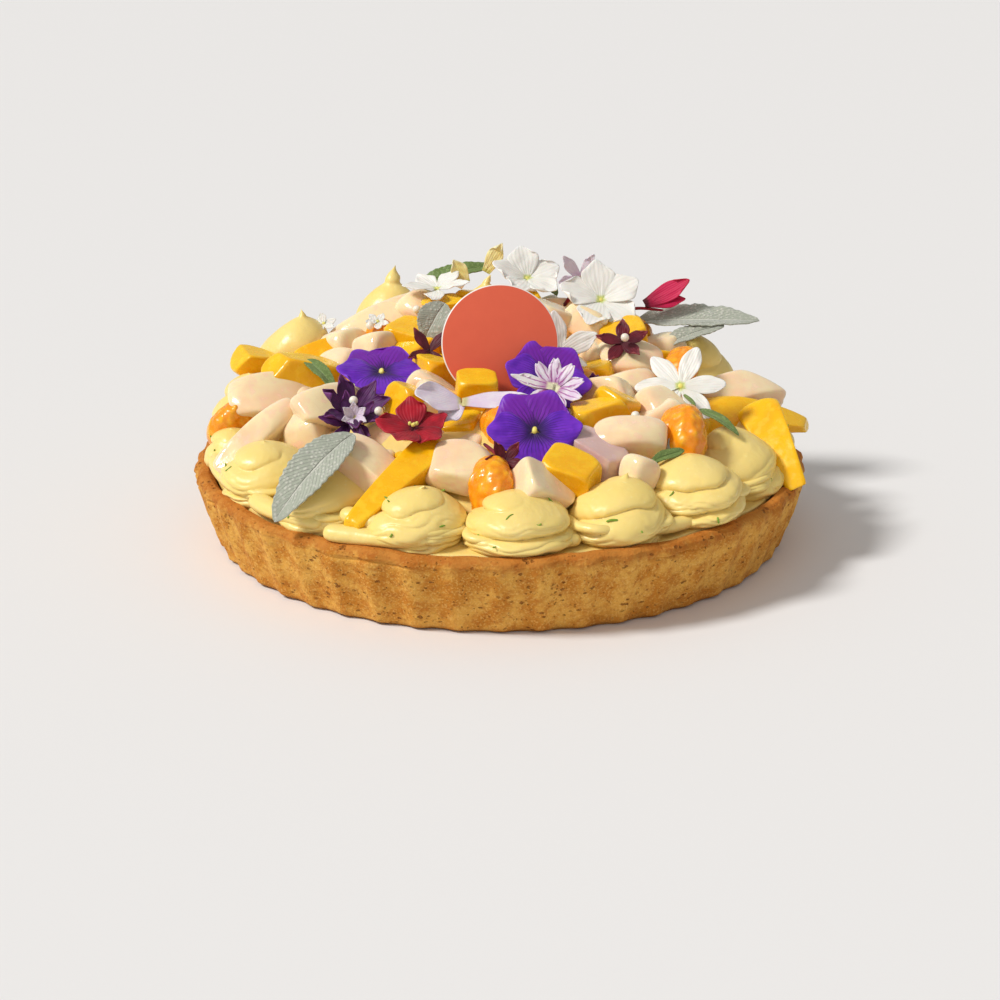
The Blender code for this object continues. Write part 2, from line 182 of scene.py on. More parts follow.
def crust_surface():
    """The outline of the wall, radius over height, is turned round the axis. The flutes are a
    cosine in the angle, strongest on the wall; slow waves make the rim and foot uneven."""
    outline = np.array((  # radius, height, rows to the next, flute share, unevenness share
        (0, 0, 3, 0, 0), (105, 0.2, 3, 0, 0), (109.3, 0, 5, 0.6, 0.4), (111.2, 1.4, 22, 1, 0.2),
        (116.0, 15.5, 16, 1, 0), (118.9, 25.4, 4, 0.9, 0.2), (119.2, 26.6, 3, 0.8, 0.5),
        (119.6, 27.6, 5, 0.7, 0.9), (119.2, 29.2, 5, 0.6, 1), (117.6, 30.4, 6, 0.5, 1),
        (115.0, 30.5, 5, 0.3, 0.9), (113.4, 29.0, 6, 0, 0.3), (105.2, 5.2, 4, 0, 0), (0, 5, 1, 0, 0),
    ))
    along = np.concatenate([[0], np.cumsum(outline[:-1, 2])])
    steps = np.arange(along[-1] + 1)
    radius, height, fluted, uneven = (np.interp(steps, along, outline[:, k])[:, None] for k in (0, 1, 3, 4))
    angle = np.linspace(0, 2 * np.pi, FLUTES * 22 + 1)[None, :]
    spot = np.stack(np.broadcast_arrays(np.cos(angle) * 116, np.sin(angle) * 116, height * 1.0), -1)
    strength = 0.75 + 0.35 * waves(spot * (1, 1, 0.3), 60, 1)
    ridge = np.cos(FLUTES * angle + 0.25 * waves(spot * (1, 1, 0.2), 30, 2))
    out = radius + fluted * strength * (1.05 * ridge + 0.25 * ridge**2)
    split = np.clip(waves(spot * (1, 1, 0), 50, 9) * 2 + 0.2, 0, 1)
    crack = np.exp(-(((height - 26.4 - 0.5 * waves(spot, 14, 10)) / 0.45) ** 2))
    out = out - 0.9 * split * crack * (radius > 117)
    out = out + np.minimum(1, radius / 100) * (0.30 * waves(spot, 22, 3) + 0.16 * waves(spot, 6, 4))
    out = out + uneven * 0.35 * waves(spot, 11, 5)
    rise = uneven * np.where(height > 10, 1.0, 0.35) * (0.75 * waves(spot, 45, 6) + 0.35 * waves(spot, 12, 7))
    out = out * np.where(radius < 1, 0, 1)
    place = np.stack(np.broadcast_arrays(out * np.cos(angle), out * np.sin(angle), height + rise), -1)
    place[..., 2] = np.maximum(place[..., 2], 0)
    return place, chart_of(*place.shape[:2])


crust = Skin("shortcrust", (0.66, 0.28, 0.04), 0.8, Specular_IOR_Level=0.15)
blotch = crust.noise(8, 3)
grain = crust.noise(0.8, 3)
height = crust.part(crust.place, "Z")
gold = crust.blend(crust.span(blotch, 0.38, 0.62), (0.74, 0.38, 0.070), (0.56, 0.215, 0.024))
gold = crust.blend(crust.span(crust.noise(2.2, 4), 0.48, 0.66, 0, 0.55), gold, (0.46, 0.155, 0.020))
gold = crust.blend(crust.span(grain, 0.50, 0.66, 0, 0.5), gold, (0.86, 0.52, 0.15))
gold = crust.blend(crust.span(crust.noise(0.5, 2), 0.56, 0.70, 0, 0.35), gold, (0.42, 0.14, 0.018))
rim_line = crust.sum(height, crust.sum(crust.sum(crust.noise(5, 4), -0.5), 0.012, "MULTIPLY"))
gold = crust.blend(crust.span(rim_line, 0.0240, 0.0305, 0, 0.70), gold, (0.40, 0.11, 0.014))
gold = crust.blend(crust.span(rim_line, 0.0295, 0.0312, 0, 0.40), gold, (0.62, 0.24, 0.040))
# Painted shade: the wall darkens towards its foot on the floor.
gold = crust.blend(crust.span(height, 0.0030, 0.0, 0, 0.6), gold, (0.30, 0.10, 0.018))
pits = crust.cells(3.6, crust.stretched((1, 1, 1.8)), feature="F1")
ragged = crust.sum(pits, crust.sum(crust.noise(1.1, 3), 0.6, "MULTIPLY"))
pitted = crust.sum(crust.span(ragged, 0.57, 0.40), crust.span(crust.noise(7, 2), 0.48, 0.60), "MULTIPLY")
small = crust.sum(crust.cells(1.5), crust.sum(crust.noise(0.7, 3), 0.5, "MULTIPLY"))
fine_pits = crust.sum(crust.span(small, 0.46, 0.30), crust.span(crust.noise(4, 2), 0.45, 0.62), "MULTIPLY")
# Painted shade in the hollows: the pits and the fine pits are darkened.
gold = crust.blend(crust.sum(pitted, 0.8, "MULTIPLY"), gold, (0.27, 0.082, 0.012))
gold = crust.blend(crust.sum(fine_pits, 0.5, "MULTIPLY"), gold, (0.34, 0.115, 0.016))
crust.put(crust.shader, {"Base Color": gold, "Roughness": crust.span(grain, 0.3, 0.7, 0.70, 0.88)})
crust.bump(crust.noise(2.4, 4), 0.55)
crust.bump(grain, 0.26)
crust.bump(crust.sum(crust.sum(pitted, fine_pits), -1.0, "MULTIPLY"), 0.7)
surface("shell_of_shortcrust", [crust_surface()], crust.material, ["tart_shell"])

# ---------------------------------------------------------------- lime cream filling
# A thick lime cream set in the shell and heaped into a low dome. It is smooth, with a soft sheen,
# and only shows between the kisses and in small gaps of the heap.


def dome(radius):
    """The cream's height: level in the middle, then an even S-shaped fall to the rim."""
    slope = np.clip((radius - 45) / 65, 0, 1)
    return 30.5 + 27 * (1 - slope**2 * (3 - 2 * slope))


def cream_surface():
    """The dome turned round the axis with slow waves on it, closed down the wall and over the
    floor of the shell."""
    radius = np.concatenate([np.linspace(0, 112.4, 64), [112.4, 105.2, 0]])[:, None]
    angle = np.linspace(0, 2 * np.pi, 241)[None, :]
    level = dome(radius) * np.ones_like(angle)
    place = np.stack(np.broadcast_arrays(radius * np.cos(angle), radius * np.sin(angle), level), -1).copy()
    place[:, :, 2] += 0.9 * waves(place, 24, 11) - 0.9
    place[-3:, :, 2] = np.array([28.5, 5.6, 5.6])[:, None]
    return place, chart_of(*place.shape[:2])


cream = Skin("lime_cream", (0.89, 0.70, 0.23), 0.36, Subsurface_Weight=0.15, Subsurface_Scale=0.002)
tint = cream.blend(cream.noise(14, 2), (0.91, 0.70, 0.26), (0.88, 0.65, 0.17))
tint = cream.blend(cream.span(cream.noise(1.6, 3), 0.62, 0.75, 0, 0.3), tint, (0.93, 0.83, 0.42))
cream.put(cream.shader, {"Base Color": tint, "Subsurface Radius": (1.0, 0.7, 0.25)})
cream.put(cream.shader, {"Roughness": cream.span(cream.noise(5, 2), 0.3, 0.7, 0.30, 0.44)})
cream.bump(cream.noise(4.5, 2), 0.35)
cream.bump(cream.noise(0.7, 2), 0.03)
surface("filling_of_cream", [cream_surface()], cream.material, ["cream_filling"])

# ---------------------------------------------------------------- piped kisses
# Seventeen kisses of the same cream, piped shoulder to shoulder round the rim through a plain round nozzle.
# Each is a rope of cream wound two or three times and drawn off into a soft peak. At the back,
# where the heap leans on them, they are taller.


KISS_ROWS, KISS_COLUMNS = 80, 97


def swirl(radius, height, turns, peak, lean, spin, seed):
    """Rows climb from foot to tip, columns go round. The outline is a squat bulb, with a small
    nib drawn off its top where peak is more than 0; the rope shows as rounded bands, a power of a
    sine, that climb one band for each turn round the kiss, and each band carries thin folds that
    run with it and are deepest near the foot."""
    climb = np.linspace(0, 1, KISS_ROWS)[:, None]
    angle = np.linspace(0, 2 * np.pi, KISS_COLUMNS)[None, :]
    top = 1 - 0.07 * min(peak, 1)
    foot = 0.82 + 0.18 * np.sin(np.minimum(1, climb / 0.3) * np.pi / 2)
    bulb = np.clip(1 - (climb / top) ** (3.0 - 0.7 * min(peak, 1)), 0, 1) ** 0.68
    nib = 0.12 * min(peak, 1) * np.clip((1 - climb) / 0.05, 0, 1) ** 0.4
    ball = np.stack(np.broadcast_arrays(np.cos(angle), np.sin(angle), climb * 2), -1)
    drift = 0.20 * waves(ball, 2.4, seed) + 0.07 * waves(ball, 1.0, seed + 4)
    band = turns * climb**0.8 - angle / (2 * np.pi) + drift + spin / 360
    rope = np.abs(np.sin(np.pi * band)) ** 0.5
    depth = (0.20 + 0.07 * waves(ball, 2.2, seed + 1)) * np.clip((top - climb) / 0.3, 0.2, 1)
    tear = 0.5 + 0.5 * waves(ball * (1, 1, 0.5), 1.5, seed + 5)
    folds = np.abs(np.sin(np.pi * (3 * band + 0.9 * waves(ball, 0.8, seed + 6)))) ** 0.6
    fine = 0.10 * np.clip(1 - climb, 0.15, 1) * np.clip(tear + 0.2, 0, 1)
    body = foot * bulb * (1 - depth + depth * rope) * (1 - fine + fine * folds)
    low = 0.05 * np.clip(1 - 3 * climb, 0, 1)
    body = body * (1 + 0.07 * waves(ball, 2.0, seed + 2) + low * waves(ball, 0.5, seed + 7))
    out = radius * (body**5 + nib**5) ** 0.2 * np.minimum(1, (1 - climb) * 60)
    curl = min(peak, 1) * np.clip((climb - top) / (1 - top + 0.01), 0, 1) ** 1.5
    x = out * np.cos(angle) + lean * radius * climb**2 + curl * radius * 0.16
    y = out * np.sin(angle) + 0.06 * radius * waves(ball * (0.1, 0.1, 1), 1.5, seed + 3) * climb
    z = height * (climb + 0.04 * (rope - 0.6) * np.sin(np.pi * climb) - 0.05 * curl * np.cos(angle))
    return np.stack(np.broadcast_arrays(x, y, z * np.ones_like(angle)), -1)


def around(clock, out, height):
    """A point: degrees round from the front, distance from the axis, and height."""
    return np.array((out * math.sin(math.radians(clock)), -out * math.cos(math.radians(clock)), height))


KISSES = (  # clock, out, radius, top, turns, peak, lean, spin
    (-18, 98, 19.5, 49.5, 2.3, 0.5, 0.20, 60), (4, 98.5, 20.5, 48.5, 2.4, 0.1, -0.10, 200),
    (24.5, 98.5, 20.0, 50, 2.2, 0.6, 0.30, 120), (45.5, 98, 21.0, 51.5, 3.3, 0.0, 0.05, 20),
    (66, 98, 19.0, 53.5, 2.0, 0.8, 0.30, 250), (85, 99, 17.5, 50, 2.0, 0.3, -0.20, 40),
    (103, 96.5, 19.5, 54, 2.2, 0.4, 0.20, 300), (123, 95, 20.5, 66, 2.6, 0.3, 0.10, 90),
    (143.5, 95, 20.0, 64, 2.6, 0.4, 0.30, 10), (164, 94, 20.5, 70, 2.8, 0.6, -0.20, 160),
    (-174, 93, 20.5, 78, 3.0, 0.7, 0.20, 220), (-149, 90, 25.0, 84.5, 2.1, 1.0, 0.0, 340),
    (-121, 97, 23.5, 75, 1.9, 0.6, -0.15, 80), (-99, 98, 19.5, 58, 2.1, 0.3, 0.20, 190),
    (-80, 101, 15.5, 46, 1.7, 0.2, 0.30, 270), (-61, 98.5, 20.0, 51, 2.2, 0.3, 0.10, 130),
    (-39.5, 98, 20.5, 50, 2.1, 0.3, -0.10, 30),
)
FOOT = 28.0
kiss_points = []
for number, (clock, out, radius, top, turns, peak, lean, spin) in enumerate(KISSES, 1):
    place = swirl(radius, top - FOOT, turns, peak, lean, spin, 20 + 5 * number)
    place = place @ turned((0, 0, clock * 2)) + around(clock, out, FOOT)
    kiss_points.append(place)
    under = np.repeat(around(clock, out, FOOT)[None, None], KISS_COLUMNS, axis=1)
    place = np.concatenate([under, place])
    grid = (place, chart_of(KISS_ROWS + 1, KISS_COLUMNS))
    node = f"cream_kiss_{number:02d}"
    surface(f"kiss_{number:02d}", [grid], cream.material, [node])

# ---------------------------------------------------------------- mango
# Ripe mango, cut by hand into cubes about 15 mm across and into long cheek slices. The cuts are
# flat and not quite square, the edges crisp, the flesh moist and evenly deep yellow.

SQUARE = ((1, 0, 0, 1), (-1, 0, 0, 1), (0, 1, 0, 1), (0, -1, 0, 1), (0, 0, 1, 1), (0, 0, -1, 1))
WEDGE = ((1, 0, 0.2, 1), (-1, 0, 0.2, 1), (0, 0.75, 0.66, 0.70), (0, -0.75, 0.66, 0.70), (0, 0, -1, 0.75))


def cut_piece(size, turn, at, cuts, sharp, skew, seed, bend=0.0, ball=1.5, fine=1.0, taper=0.0):
    """A piece with flat cuts. In every direction the surface lies at the soft least of the
    distances to the cuts and to a ball; a high power, sharp, gives crisp edges. skew tilts each
    cut a little, bend lowers the ends, taper narrows the far one, and size is the whole length,
    width and height."""
    chance = np.random.default_rng(seed)
    cuts = np.array(cuts, float)
    ways = cuts[:, :3] + chance.normal(0, skew, (len(cuts), 3))
    ways /= np.linalg.norm(ways, axis=1, keepdims=True)
    away = cuts[:, 3] * (1 + chance.normal(0, skew / 2, len(cuts)))
    rows, columns = int(64 * fine) + 1, int(96 * fine) + 1
    polar = np.linspace(0, np.pi, rows)[:, None]
    angle = np.linspace(0, 2 * np.pi, columns)[None, :]
    level, up = np.sin(polar), np.cos(polar)
    ray = np.stack(np.broadcast_arrays(level * np.cos(angle), level * np.sin(angle), up), -1)
    facing = np.maximum(ray @ ways.T / away, 1e-3)
    reach = ((facing**sharp).sum(-1) + ball**-sharp) ** (-1 / sharp)
    half = np.array(size) / 2
    reach = reach * (1 + 0.014 * waves(ray, 1.3, seed) + 0.004 * waves(ray, 0.35, seed + 1))
    place = ray * reach[..., None] * half
    place[..., 1:] *= 1 - taper * place[..., :1] / half[0]
    place[..., 2] -= bend * (place[..., 0] / half[0]) ** 2
    return place @ turned(turn) + np.array(at), chart_of(rows, columns)


def fruit_skin(name, colours, roughness, glow, edge):
    """Moist flesh: two tones in slow patches, a paler thin tone, a painted glow that makes the flesh
    paler where it is seen edge-on, in place of light passing through thin flesh, and a soft uneven gloss."""
    skin = Skin(
        name, colours[0], roughness,
        Specular_IOR_Level=0.42, Subsurface_Weight=glow, Subsurface_Scale=0.002,
    )
    tone = skin.blend(skin.span(skin.noise(13, 2), 0.38, 0.62), colours[0], colours[1])
    tone = skin.blend(skin.span(skin.noise(3.5, 2), 0.50, 0.75, 0, 0.5), tone, colours[2])
    # Painted light: paler flesh where the surface is seen edge-on, standing in for light through it.
    edge_on_glow = skin.add("LayerWeight").outputs["Facing"]
    tone = skin.blend(skin.span(edge_on_glow, 0.25, 0.95, 0, 0.75), tone, edge)
    skin.put(skin.shader, {"Base Color": tone, "Subsurface Radius": (1.0, 0.6, 0.3)})
    gloss = skin.span(skin.noise(3.5, 3), 0.3, 0.7, roughness - 0.10, roughness + 0.12)
    skin.put(skin.shader, {"Roughness": gloss})
    skin.bump(skin.noise(3.0, 2), 0.14)
    skin.bump(skin.noise(0.5, 2), 0.02)
    return skin


# The last colour of each fruit skin is its painted edge-on glow.
mango = fruit_skin(
    "mango", ((0.93, 0.50, 0.006), (0.90, 0.43, 0.004), (0.95, 0.60, 0.015)),
    0.24, 0.15, (0.97, 0.62, 0.03),
)
MANGO = (  # node, centre, size, turn, skew, bend, taper
    ("mango_cube_topper", (-9, -27, 63), (15, 14, 14), (6, 2, 8), 0.05, 0, 0),
    ("mango_cube_left", (-36, 32, 66), (18, 17, 16), (8, 10, -28), 0.06, 0, 0),
    ("mango_cube_wedge", (-79, 8, 59), (25, 16, 14), (-4, 22, 24), 0.13, 0, -0.25),
    ("mango_cube_edge", (-99, 32, 58), (16, 11, 9), (8, 16, 12), 0.12, 0, 0.25),
    ("mango_cube_middle", (-34, -34, 60), (16, 14, 13), (10, 24, 40), 0.07, 0, 0),
    ("mango_cube_right", (37, -41, 58), (20, 13, 11), (8, -10, 12), 0.08, 0, 0.15),
    ("mango_cube_front", (25, -79, 48), (19, 15, 13), (16, 14, -22), 0.08, 0, 0.1),
    ("mango_cube_back", (50, 28, 65), (18, 17, 18), (10, -10, 16), 0.08, 0, -0.1),
    ("mango_cube_inner", (-25, 0, 61), (16, 15, 16), (10, 12, 30), 0.06, 0, 0),
    ("mango_cube_top", (-23, 46, 75), (15, 14, 12), (6, -8, 20), 0.06, 0, 0),
    ("mango_slice_front", (-37, -84, 46), (50, 11, 8), (20, -20, 49), 0.05, 2, -0.4),
    ("mango_slice_right", (105, -30, 43), (40, 12, 5.5), (30, 29, -71), 0.05, 2, 0.35),
    ("mango_slice_side", (102, -3, 45), (42, 14, 6.5), (26, 6, 14), 0.06, 3, 0.45),
)
for seed, (node, at, size, turn, skew, bend, taper) in enumerate(MANGO, 200):
    crisp = 34 if "cube" in node else 40
    grid = cut_piece(size, turn, at, SQUARE, crisp, skew, seed, bend, taper=taper)
    surface(node.replace("mango", "cut_mango"), [grid], mango.material, [node])

# ---------------------------------------------------------------- lychee and white peach
# Peeled lychee and white peach in torn and cut pieces: pale, glassy flesh with a pink blush,
# rounded where it was the outside of the fruit and flat where it was cut.

lychee = fruit_skin(
    "white_fruit", ((0.88, 0.60, 0.36), (0.90, 0.72, 0.42), (0.90, 0.53, 0.40)), 0.16, 0.2, (0.97, 0.84, 0.60)
)
# A darker lilac copy of the white fruit: painted shade on the piece by the viola.
shaded_white_fruit = fruit_skin(
    "white_fruit_lilac_in_painted_shade", ((0.60, 0.38, 0.34), (0.66, 0.46, 0.36), (0.58, 0.33, 0.40)),
    0.20, 0.2, (0.86, 0.70, 0.66),
)
GABLE = ((0.86, 0, 0.5, 0.62), (-0.86, 0, 0.5, 0.66), (0, 0, -1, 1), (0, 1, 0.1, 1), (0, -1, 0.1, 1))
LENS = (
    (0.62, 0.78, 0, 0.66), (0.62, -0.78, 0, 0.66), (-1, 0, 0, 1), (0, 0, 1, 1), (0, 0, -1, 1),
    (-0.5, 0.86, 0, 0.95), (-0.5, -0.86, 0, 0.95),
)
WHITE = (  # node, centre, size, turn, cuts, sharp, skew, bend
    ("lychee_left", (-87, -5, 54.5), (35, 20, 9), (34, 8, 14), SQUARE, 14, 0.22, 3),
    ("lychee_strip", (-93, -33, 46), (37, 11, 9), (30, -32, 38), SQUARE, 14, 0.10, 1),
    ("lychee_wedge", (-50, -74, 49.5), (28, 18, 12), (34, 22, -40), WEDGE, 18, 0.10, 2),
    ("lychee_front", (-15, -77, 50), (22, 17, 13), (30, 8, -16), SQUARE, 16, 0.16, 1),
    ("lychee_low", (13, -88, 46.5), (23, 19, 17), (22, -8, 8), GABLE, 18, 0.16, 0),
    ("lychee_lilac", (33, -66, 51), (25, 17, 12), (40, 24, -34), WEDGE, 18, 0.14, 1),
    ("lychee_right", (48, -56, 54), (26, 16, 12), (26, 0, 6), SQUARE, 16, 0.12, 1),
    ("lychee_small", (50, -75, 47), (13, 12, 13), (0, 20, 30), SQUARE, 5, 0.10, 0),
    ("lychee_side", (97, 12, 51), (36, 20, 10), (24, 4, 8), LENS, 12, 0.08, 3),
    ("lychee_slab", (-45, 50, 69.5), (46, 22, 10), (40, -16, 22), SQUARE, 14, 0.20, 4),
    ("lychee_middle", (62, -24, 56), (22, 17, 12), (18, 6, 30), SQUARE, 12, 0.18, 1),
    ("lychee_back", (22, 56, 71), (28, 20, 13), (-24, 6, 20), SQUARE, 12, 0.18, 2),
)
for seed, (node, at, size, turn, cuts, sharp, skew, bend) in enumerate(WHITE, 300):
    grid = cut_piece(size, turn, at, cuts, sharp, skew, seed, bend, ball=1.35)
    # The piece by the viola takes the copy with painted shade.
    skin = shaded_white_fruit if node == "lychee_lilac" else lychee
    surface(node.replace("lychee", "white_fruit"), [grid], skin.material, [node])

# ---------------------------------------------------------------- mandarin
# Segments of mandarin with the skin peeled off them, so the long juice cells show. They are plump
# crescents that thin to the inner edge.

mandarin = Skin("mandarin", (0.91, 0.36, 0.008), 0.24, Subsurface_Weight=0.2, Subsurface_Scale=0.002)
cell = mandarin.cells(3.0, mandarin.stretched((1, 1, 0.55)), feature="SMOOTH_F1")
flesh = mandarin.blend(mandarin.span(cell, 0.15, 0.60), (0.93, 0.42, 0.012), (0.86, 0.27, 0.004))
flesh = mandarin.blend(mandarin.span(cell, 0.55, 0.80, 0, 0.5), flesh, (0.95, 0.60, 0.10))
mandarin.put(mandarin.shader, {"Base Color": flesh, "Subsurface Radius": (1.0, 0.5, 0.2)})
mandarin.put(mandarin.shader, {"Roughness": mandarin.span(mandarin.noise(2, 3), 0.3, 0.7, 0.16, 0.34)})
mandarin.bump(mandarin.span(cell, 0.75, 0.1), 0.5)


def segment(size, turn, at, bend, seed, fine=1.0):
    """Rows run along the crescent and columns round it. The girth swells as a sine and each
    section is a drop, thinned towards the inner edge; waves lift the juice cells."""
    rows, columns = int(64 * fine) + 1, int(80 * fine) + 1
    slope = np.linspace(0, np.pi, rows)[:, None]
    angle = np.linspace(0, 2 * np.pi, columns)[None, :]
    along, girth = -np.cos(slope), np.sin(slope) ** 0.8
    across, up = np.cos(angle), np.sin(angle)
    ball = np.stack(np.broadcast_arrays(along * 2, across * girth, up * girth), -1)
    girth = girth * (1 + 0.05 * waves(ball, 0.55, seed) + 0.05 * waves(ball, 1.6, seed + 1))
    half = np.array(size) / 2
    x = half[0] * along * np.ones_like(angle)
    y = half[1] * across * girth
    z = half[2] * up * girth * (1 - 0.45 * across) - bend * along**2
    return np.stack((x, y, z), -1) @ turned(turn) + np.array(at), chart_of(rows, columns)


MANDARIN = (
    ("mandarin_left", (-103, -8, 45.5), (26, 16, 17), (10, -14, 20), 4),
    ("mandarin_front", (-3, -88, 46), (24, 16, 13), (0, -64, 90), 3),
    ("mandarin_right", (67, -51, 52), (29, 19, 16), (-6, -56, 82), 4),
    ("mandarin_back", (2, 24, 68), (26, 15, 14), (12, 0, 160), 4),
)
for seed, (node, at, size, turn, bend) in enumerate(MANDARIN, 400):
    grid = segment(size, turn, at, bend, seed)
    surface(node + "_segment", [grid], mandarin.material, [node])

# ---------------------------------------------------------------- the heap under the top pieces
# More of the same mango, lychee and mandarin fills the middle of the tart. It shows in the gaps
# between the top pieces. Four more pieces are placed one by one.

TOP_PIECES = [row[1][:2] for row in (*MANGO, *WHITE, *MANDARIN)]
FLOWER_SPOTS = (
    (-46, -7), (18, -25), (12, -64), (20, -36), (-30, -60), (-16, -46), (69, -20), (-55, -38), (0, -12),
)
HEAP_STEPS, HEAP_RADIUS, GOLDEN_ANGLE = 96, 84, 2.39996
TOP_CLEARANCE, FLOWER_CLEARANCE = 8.5, 16
chance = np.random.default_rng(7)
heaps = {"mango": [], "lychee": [], "mandarin": []}
for step in range(HEAP_STEPS):
    out = HEAP_RADIUS * math.sqrt((step + 0.5) / HEAP_STEPS)
    x, y = out * math.cos(GOLDEN_ANGLE * step), out * math.sin(GOLDEN_ANGLE * step)
    near = min(math.hypot(x - a, y - b) for a, b in TOP_PIECES)
    under = min(math.hypot(x - a, y - b) for a, b in FLOWER_SPOTS) < FLOWER_CLEARANCE
    if near < TOP_CLEARANCE:
        continue
    kind = chance.choice(["mango", "lychee", "lychee", "mandarin", "lychee", "mango"])
    kind = "lychee" if x < -40 and y < 5 else kind
    banked = 18 * np.clip((y - 12) / 34, 0, 1)  # heaped higher behind the topper
    at = (x, y, dome(out) + banked + chance.uniform(0.5, 3.0) - 1.5 * (near < 13) - 7.5 * under)
    turn = chance.uniform((-25, -25, 0), (25, 25, 360))
    size = chance.uniform((14, 12, 10), (20, 16, 14))
    if kind == "mandarin":
        heaps[kind].append(segment(size * (1.3, 0.9, 1), turn, at, 3, 500 + step, 0.5))
    elif kind == "mango":
        heaps[kind].append(cut_piece(size, turn, at, SQUARE, 24, 0.07, 500 + step, fine=0.5))
    else:
        grid = cut_piece(size * 1.15, turn, at, SQUARE, 14, 0.18, 500 + step, ball=1.35, fine=0.5)
        heaps[kind].append(grid)
heaps["mango"].append(cut_piece((28, 11, 6), (34, -14, 20), (-72, 32, 61), SQUARE, 26, 0.12, 901, 2))
heaps["mandarin"].append(segment((27, 14, 13), (20, -30, 70), (71, 4, 63), 3, 902))
heaps["lychee"].append(cut_piece((24, 15, 9), (30, 8, -10), (52, 10, 65), SQUARE, 10, 0.2, 903, 2))
heaps["lychee"].append(cut_piece((26, 18, 10), (26, 6, 20), (-66, -26, 56), SQUARE, 10, 0.2, 904, 2))
for kind, skin in (("mango", mango), ("lychee", lychee), ("mandarin", mandarin)):
    surface(f"heap_of_{kind}", heaps[kind], skin.material)

# ---------------------------------------------------------------- round topper
# A plain round card 45 mm across, red-orange on both faces with a white core that shows at the
# edge. It stands in the heap and leans back a little.

TOPPER_AT, TOPPER_TURN, TOPPER_RADIUS = (0, -12, 78), (70, 0, 0), 22.5


def card_surface():
    """The outline of a thin disc with rounded edges, turned round its axis."""
    edge, rim = TOPPER_RADIUS - 0.6, TOPPER_RADIUS - 0.15
    under = ((0, -0.7), (edge, -0.7), (rim, -0.62), (TOPPER_RADIUS, -0.35))
    outline = np.array((*under, *((out, -low) for out, low in reversed(under))))
    angle = np.linspace(0, 2 * np.pi, 145)[None, :]
    radius, height = outline[:, :1], outline[:, 1:]
    place = np.stack(np.broadcast_arrays(radius * np.cos(angle), radius * np.sin(angle), height), -1)
    chart = np.stack(np.broadcast_arrays(radius / TOPPER_RADIUS, angle * 0), -1)
    return place @ turned(TOPPER_TURN) + np.array(TOPPER_AT), chart


card = Skin("card", (0.72, 0.11, 0.045), 0.42)
inward = card.part(card.add("TexCoord").outputs["UV"], "X")
face = card.blend(card.noise(6, 3), (0.74, 0.115, 0.048), (0.69, 0.10, 0.042))
card.put(card.shader, {"Base Color": card.blend(card.span(inward, 0.975, 0.985), face, (0.86, 0.80, 0.74))})
card.put(card.shader, {"Roughness": card.span(card.noise(1.5, 3), 0.3, 0.7, 0.36, 0.48)})
card.bump(card.noise(0.4, 2), 0.015)
surface("topper_card", [card_surface()], card.material, ["round_topper"])

# ---------------------------------------------------------------- violas
# Three fresh violas, picked with no stem: two upper petals behind, two at the sides and a broad
# notched one below, with dark lines running into a small yellow eye.


def petal(
    length, width, claw=0.3, widest=0.62, notch=0.0, cup=0.1, gutter=0.0, ruffle=0.0, blunt=0.55,
    seed=0, kind=0,
):
    """One petal along X from its foot. Rows run out along it, columns across. The width swells
    from the narrow claw as a quarter sine and draws in to a blunt end, whose row is an arc with a
    notch; cup lifts the end, gutter the edges, and ruffle waves the rim."""
    rows, columns = 27, 21
    out = np.linspace(0, 1, rows)[:, None]
    across = np.linspace(-1, 1, columns)[None, :]
    swell = claw + (1 - claw) * np.sin(np.minimum(1, out / widest) * np.pi / 2) ** 1.3
    draw_in = np.sqrt(np.clip(1 - (1 - blunt**2) * (np.maximum(0, out - widest) / (1 - widest)) ** 2, 0, 1))
    y = width / 2 * across * swell * draw_in
    x = length * out * (1 - 0.24 * across**2 * out**2 - notch * (1 - across**2) ** 5 * out**4)
    flat = np.stack(np.broadcast_arrays(out * 3, across * 2, seed * 1.7), -1)
    z = length * cup * out**2 + width * gutter * across**2 * out
    z = z + ruffle * (0.3 + across**2) * out**2 * waves(flat, 2.4, 600 + seed)
    z = z + 0.15 * waves(flat, 1.2, 640 + seed)
    chart = np.stack(np.broadcast_arrays(kind + 0.5 + 0.499 * across, out), -1)
    return np.stack(np.broadcast_arrays(x, y, z), -1), chart


def flower(name, at, turn, petals, skin, replaces=(), thick=0.3):
    """petals holds (heading, rise, lift, petal): the direction it points in, how steeply it
    stands up from the flower's plane, and how far above that plane it starts. The whole is spun,
    leant and tilted."""
    grids = []
    for heading, rise, lift, (place, chart) in petals:
        place = place @ turned((0, -rise, 0)) @ turned((0, 0, heading)) + np.array((0, 0, lift))
        grids.append((place @ turned(turn, "ZYX") + np.array(at), chart))
    return surface(name, grids, skin.material, replaces, thick, closed=False)


FULL_TURN = 6.28  # radians


